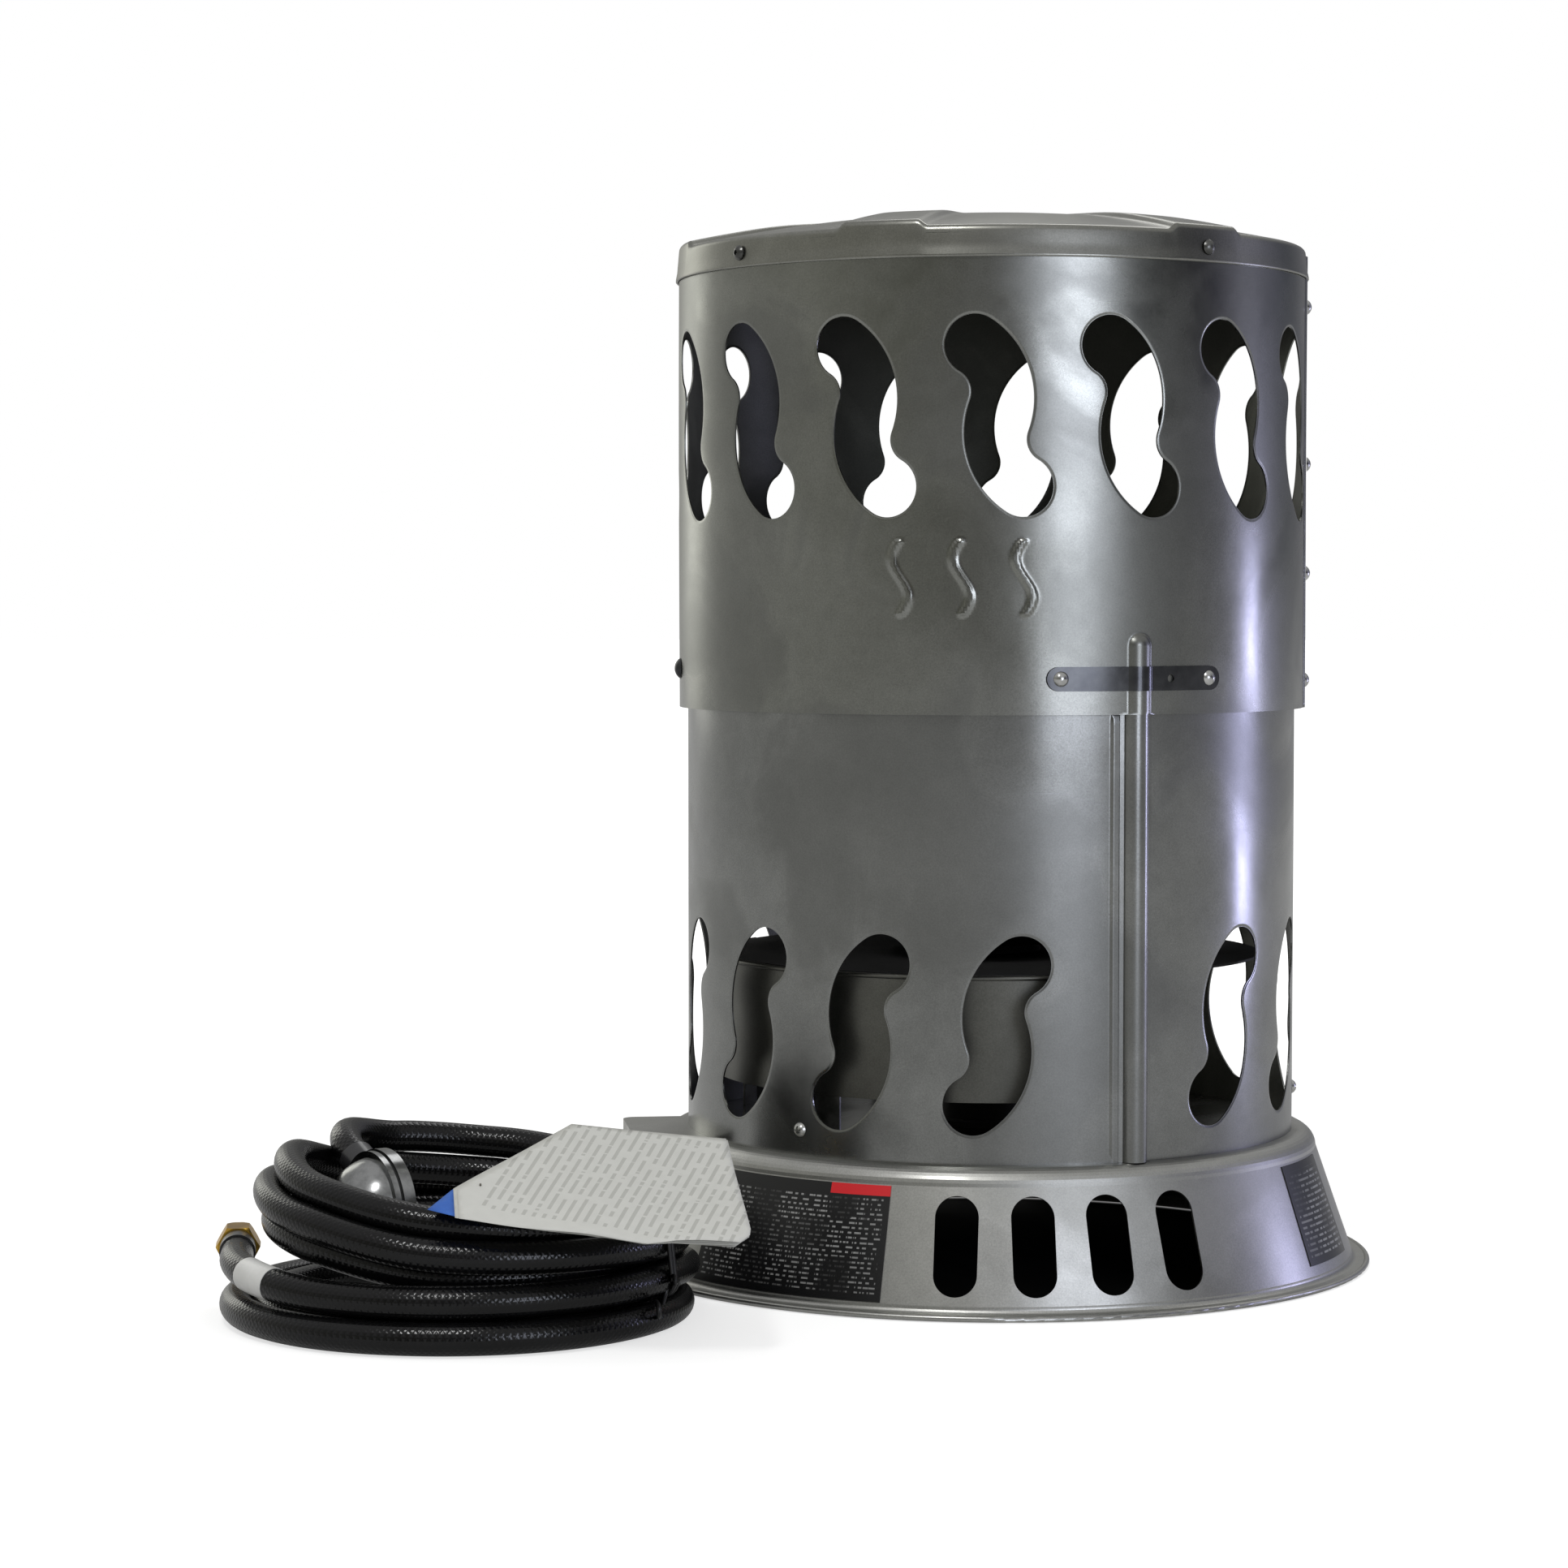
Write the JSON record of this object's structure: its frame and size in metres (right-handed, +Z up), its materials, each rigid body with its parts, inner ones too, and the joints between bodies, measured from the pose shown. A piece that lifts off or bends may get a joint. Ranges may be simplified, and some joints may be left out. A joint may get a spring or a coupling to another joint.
{
  "type": "portable propane heater",
  "caption": "Round upright gas convection heater: vented steel drum on a flared base, side control panel, and a coiled hose with regulator beside it.",
  "frame": {"origin": "on the drum's axis, in the plane that the base's foot stands on", "axes": "+Z is up along the drum's axis; the front, with the seam bead and its strap, faces -Y; the control panel is at -X and the coiled hose lies at front left"},
  "size_m": [0.5848, 0.5055, 0.553],
  "materials": {
    "galvanised_base": "smooth galvanised steel",
    "galvanised_pan": "dull galvanised steel",
    "galvanised_shell": "satin galvanised steel",
    "galvanised_upper": "satin galvanised steel",
    "galvanised_cap": "satin galvanised steel",
    "stainless_strap": "bright stainless strip",
    "rivet_bright": "bright rivet head",
    "rivet_dull": "dull rivet head",
    "screw_zinc": "zinc plated",
    "screw_black": "black oxide",
    "shield_steel": "plain sheet steel",
    "baffle_black": "matt black heat-proof paint",
    "burner_black": "matt black heat-proof paint",
    "burner_iron": "rough casting",
    "bracket_steel": "zinc plated",
    "ceramic": "glazed ceramic",
    "copper": "copper capillary",
    "brass": "machined brass",
    "brass_valve": "forged brass",
    "brass_nut": "forged brass",
    "tube_aluminium": "drawn tube",
    "knob_black": "moulded, fine grain",
    "bushing_zinc": "zinc plated",
    "bushing_black": "moulded",
    "button_red": "moulded",
    "button_white": "moulded",
    "plate_black": "printed film",
    "hose_rubber": "glossy ribbed rubber",
    "ferrule_black": "black crimped ferrule",
    "zinc_cast": "die-cast, grey",
    "zinc_cap": "die-cast, grey",
    "gasket_rubber": "matt rubber",
    "tie_black": "plastic coated wire",
    "paper": "folded paper",
    "wire": "thin steel wire"
  },
  "bodies": {
    "heater": {"base_skirt": "galvanised_base", "floor_pan": "galvanised_pan", "lower_shell": "galvanised_shell", "upper_shell": "galvanised_upper", "top_cap": "galvanised_cap", "seam_strap": "stainless_strap", "strap_rivets": "rivet_bright", "seam_rivets": "rivet_bright", "cap_rivets": "rivet_dull", "shell_screws": "screw_zinc", "joint_screws": "screw_black", "heat_shield": "shield_steel", "shield_legs": "shield_steel", "baffle_disc": "baffle_black", "baffle_posts": "baffle_black", "burner_tube": "burner_black", "burner_head": "burner_iron", "burner_bracket": "bracket_steel", "igniter_electrode": "ceramic", "thermocouple": "copper", "orifice_elbow": "brass", "supply_tube": "tube_aluminium", "gas_valve": "brass_valve", "inlet_fitting": "brass", "safety_bushing": "bushing_zinc", "igniter_bushing": "bushing_black", "rating_plate": "plate_black", "side_plate": "plate_black"},
    "knob": {"control_knob": "knob_black"},
    "safety_button": {"safety_button": "button_red"},
    "igniter_button": {"igniter_button": "button_white"},
    "hose_set": {"hose_coil_raised": "hose_rubber", "hose_coil_floor": "hose_rubber", "hose_tail": "hose_rubber", "hose_lead": "hose_rubber", "nut_ferrule": "ferrule_black", "flare_stem": "brass", "regulator_ferrule": "ferrule_black", "regulator_body": "zinc_cast", "regulator_gasket": "gasket_rubber", "regulator_bonnet": "zinc_cast", "regulator_cap": "zinc_cap", "bottle_stem": "brass", "twist_tie": "tie_black", "leaflet": "paper", "leaflet_wire": "wire"},
    "flare_nut": {"flare_nut": "brass_nut"},
    "bottle_nut": {"bottle_nut": "brass_nut"}
  },
  "joints": [
    {"name": "knob_turn", "type": "hinge", "parent": "heater", "child": "knob", "pos_m": [-0.19007, -0.03351, 0.039], "axis": [-0.9848, -0.1736, 0], "range_deg": [0, 180]},
    {"name": "safety_press", "type": "slide", "parent": "heater", "child": "safety_button", "axis": [0.9848, 0.1736, 0], "range_m": [0, 0.006], "stiffness_N_per_m": 300},
    {"name": "igniter_press", "type": "slide", "parent": "heater", "child": "igniter_button", "axis": [0.9848, 0.1736, 0], "range_m": [0, 0.005], "stiffness_N_per_m": 400},
    {"name": "hose_lift", "type": "slide", "parent": "heater", "child": "hose_set", "axis": [0, 0, 1], "range_m": [0, 0.25]},
    {"name": "flare_nut_spin", "type": "hinge", "parent": "hose_set", "child": "flare_nut", "pos_m": [-0.367, -0.196, 0.03], "axis": [-0.1736, 0.9848, 0], "continuous": true},
    {"name": "bottle_nut_spin", "type": "hinge", "parent": "hose_set", "child": "bottle_nut", "pos_m": [-0.26807, -0.23096, 0.04158], "axis": [0.5498, -0.7296, -0.4067], "continuous": true}
  ]
}
